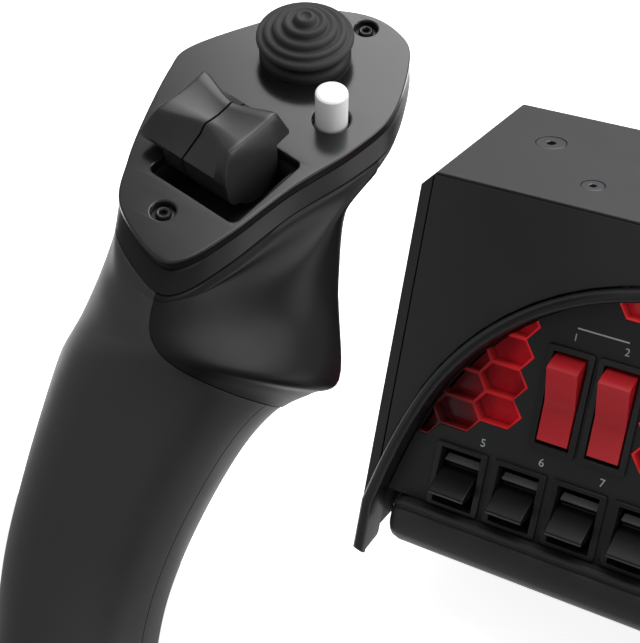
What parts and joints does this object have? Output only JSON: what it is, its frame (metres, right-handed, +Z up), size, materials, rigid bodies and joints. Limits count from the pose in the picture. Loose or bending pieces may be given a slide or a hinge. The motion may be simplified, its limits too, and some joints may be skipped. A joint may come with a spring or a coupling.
{
  "type": "flight yoke",
  "caption": "Desktop flight yoke: two-horn grip on a sliding, turning shaft, in a clamp-down housing with an arched panel of rocker and paddle switches.",
  "frame": {"origin": "centre of the rubber mat's underside, on the desk", "axes": "+Z up, -Y towards the pilot, +X to the pilot's right; the shaft lies along Y"},
  "size_m": [0.2918, 0.3064, 0.1817],
  "materials": {
    "matte_black": "satin, fine texture",
    "grip_black": "soft-touch satin",
    "gloss_black": "polished",
    "bezel_black": "satin",
    "switch_black": "satin",
    "switch_red": "satin",
    "button_white": "semi-gloss",
    "grille_red": "translucent red, lit from behind",
    "steel": "brushed",
    "bright_steel": "ground",
    "bronze": "sintered",
    "carriage_grey": "moulded",
    "board_green": "solder mask",
    "rubber": "matte"
  },
  "bodies": {
    "root": {"rubber_mat": "rubber", "base_plate": "steel", "base_frame": "matte_black", "main_cover": "matte_black", "rear_panel": "matte_black", "front_fascia": "matte_black", "arch_bezel": "bezel_black", "chin_bar": "bezel_black", "switch_panel": "bezel_black", "side_grilles": "grille_red", "centre_grille": "grille_red", "light_diffusers": "grille_red", "switch_bezels": "bezel_black", "switch_bodies": "bezel_black", "shaft_collar": "bezel_black", "guide_rods": "bright_steel", "rod_brackets": "steel", "pitch_springs": "bright_steel", "main_board": "board_green", "usb_socket": "bright_steel", "cover_screws": "steel"},
    "carriage": {"carriage": "carriage_grey", "rod_bushes": "bronze", "roll_bearings": "bright_steel"},
    "yoke": {"yoke_shaft": "steel", "yoke_hub": "grip_black", "yoke_arms": "grip_black", "hub_cover": "gloss_black", "left_grip_front": "grip_black", "left_grip_rear": "grip_black", "left_side_cover": "gloss_black", "left_head_plate": "gloss_black", "left_ptt_bezel": "bezel_black", "right_grip_front": "grip_black", "right_grip_rear": "grip_black", "right_side_cover": "gloss_black", "right_head_plate": "gloss_black", "plate_screws": "steel", "hat_housing": "bezel_black"},
    "hat_gimbal": {"hat_gimbal": "switch_black"},
    "hat_switch": {"hat_switch": "switch_black"},
    "left_button": {"left_button": "button_white"},
    "left_ptt_button": {"left_ptt_button": "switch_black"},
    "left_trim_outer": {"left_trim_outer": "switch_black"},
    "left_trim_inner": {"left_trim_inner": "switch_black"},
    "right_trim_outer": {"right_trim_outer": "switch_black"},
    "right_trim_inner": {"right_trim_inner": "switch_black"},
    "rudder_rocker": {"rudder_rocker": "switch_black"},
    "right_button": {"right_button": "switch_red"},
    "alternator_rocker": {"alternator_rocker": "switch_red"},
    "battery_rocker": {"battery_rocker": "switch_red"},
    "avionics_rocker_b": {"avionics_rocker_b": "switch_black"},
    "avionics_rocker_a": {"avionics_rocker_a": "switch_black"},
    "beacon_paddle": {"beacon_paddle": "switch_black"},
    "landing_paddle": {"landing_paddle": "switch_black"},
    "taxi_paddle": {"taxi_paddle": "switch_black"},
    "nav_paddle": {"nav_paddle": "switch_black"},
    "strobe_paddle": {"strobe_paddle": "switch_black"},
    "ignition_knob": {"ignition_knob": "switch_black"}
  },
  "joints": [
    {"name": "pitch_slide", "type": "slide", "parent": "root", "child": "carriage", "axis": [0, 1, 0], "range_m": [-0.03, 0.012], "stiffness_N_per_m": 250, "deforming": ["pitch_springs"]},
    {"name": "roll_turn", "type": "hinge", "parent": "carriage", "child": "yoke", "pos_m": [0, -0.1, 0.072], "axis": [0, 1, 0], "range_deg": [-90, 90], "stiffness_Nm_per_rad": 0.9},
    {"name": "hat_pitch", "type": "hinge", "parent": "yoke", "child": "hat_gimbal", "pos_m": [-0.12166, -0.11137, 0.16674], "axis": [0.9781, 0, -0.2079], "range_deg": [-10, 10], "stiffness_Nm_per_rad": 0.05},
    {"name": "hat_roll", "type": "hinge", "parent": "hat_gimbal", "child": "hat_switch", "pos_m": [-0.12166, -0.11137, 0.16674], "axis": [0.066, 0.9483, 0.3104], "range_deg": [-10, 10], "stiffness_Nm_per_rad": 0.05},
    {"name": "left_button_press", "type": "slide", "parent": "yoke", "child": "left_button", "axis": [-0.1972, 0.3173, -0.9276], "range_m": [0, 0.002], "stiffness_N_per_m": 400},
    {"name": "left_ptt_press", "type": "slide", "parent": "yoke", "child": "left_ptt_button", "axis": [0, -0.7986, 0.6018], "range_m": [0, 0.0025], "stiffness_N_per_m": 400},
    {"name": "left_trim_outer_rock", "type": "hinge", "parent": "yoke", "child": "left_trim_outer", "pos_m": [-0.12381, -0.14451, 0.15726], "axis": [0.9659, -0.0991, -0.2392], "range_deg": [-12, 12], "stiffness_Nm_per_rad": 0.05},
    {"name": "left_trim_inner_rock", "type": "hinge", "parent": "yoke", "child": "left_trim_inner", "pos_m": [-0.12381, -0.14451, 0.15726], "axis": [0.9659, -0.0991, -0.2392], "range_deg": [-12, 12], "stiffness_Nm_per_rad": 0.05},
    {"name": "right_trim_outer_rock", "type": "hinge", "parent": "yoke", "child": "right_trim_outer", "pos_m": [0.12381, -0.14451, 0.15726], "axis": [0.9659, 0.0991, 0.2392], "range_deg": [-12, 12], "stiffness_Nm_per_rad": 0.05},
    {"name": "right_trim_inner_rock", "type": "hinge", "parent": "yoke", "child": "right_trim_inner", "pos_m": [0.12381, -0.14451, 0.15726], "axis": [0.9659, 0.0991, 0.2392], "range_deg": [-12, 12], "stiffness_Nm_per_rad": 0.05},
    {"name": "rudder_rock", "type": "hinge", "parent": "yoke", "child": "rudder_rocker", "pos_m": [0.1212, -0.1121, 0.16887], "axis": [-0.066, 0.9483, 0.3104], "range_deg": [-12, 12], "stiffness_Nm_per_rad": 0.05},
    {"name": "right_button_press", "type": "slide", "parent": "yoke", "child": "right_button", "axis": [0.1972, 0.3173, -0.9276], "range_m": [0, 0.002], "stiffness_N_per_m": 400},
    {"name": "alternator_switch", "type": "hinge", "parent": "root", "child": "alternator_rocker", "pos_m": [-0.065, -0.07437, 0.07338], "axis": [1, 0, 0], "range_deg": [-24, 0]},
    {"name": "battery_switch", "type": "hinge", "parent": "root", "child": "battery_rocker", "pos_m": [-0.051, -0.07437, 0.07338], "axis": [1, 0, 0], "range_deg": [-24, 0]},
    {"name": "avionics_b_switch", "type": "hinge", "parent": "root", "child": "avionics_rocker_b", "pos_m": [0.051, -0.07437, 0.07338], "axis": [1, 0, 0], "range_deg": [-24, 0]},
    {"name": "avionics_a_switch", "type": "hinge", "parent": "root", "child": "avionics_rocker_a", "pos_m": [0.065, -0.07437, 0.07338], "axis": [1, 0, 0], "range_deg": [-24, 0]},
    {"name": "beacon_switch", "type": "hinge", "parent": "root", "child": "beacon_paddle", "pos_m": [-0.089, -0.07619, 0.04239], "axis": [1, 0, 0], "range_deg": [-24, 0]},
    {"name": "landing_switch", "type": "hinge", "parent": "root", "child": "landing_paddle", "pos_m": [-0.072, -0.07619, 0.04239], "axis": [1, 0, 0], "range_deg": [-24, 0]},
    {"name": "taxi_switch", "type": "hinge", "parent": "root", "child": "taxi_paddle", "pos_m": [-0.055, -0.07619, 0.04239], "axis": [1, 0, 0], "range_deg": [-24, 0]},
    {"name": "nav_switch", "type": "hinge", "parent": "root", "child": "nav_paddle", "pos_m": [-0.038, -0.07619, 0.04239], "axis": [1, 0, 0], "range_deg": [-24, 0]},
    {"name": "strobe_switch", "type": "hinge", "parent": "root", "child": "strobe_paddle", "pos_m": [-0.021, -0.07619, 0.04239], "axis": [1, 0, 0], "range_deg": [-24, 0]},
    {"name": "ignition_turn", "type": "hinge", "parent": "root", "child": "ignition_knob", "pos_m": [0.05, -0.08576, 0.0485], "axis": [0, 0.9494, -0.314], "range_deg": [0, 120]}
  ]
}
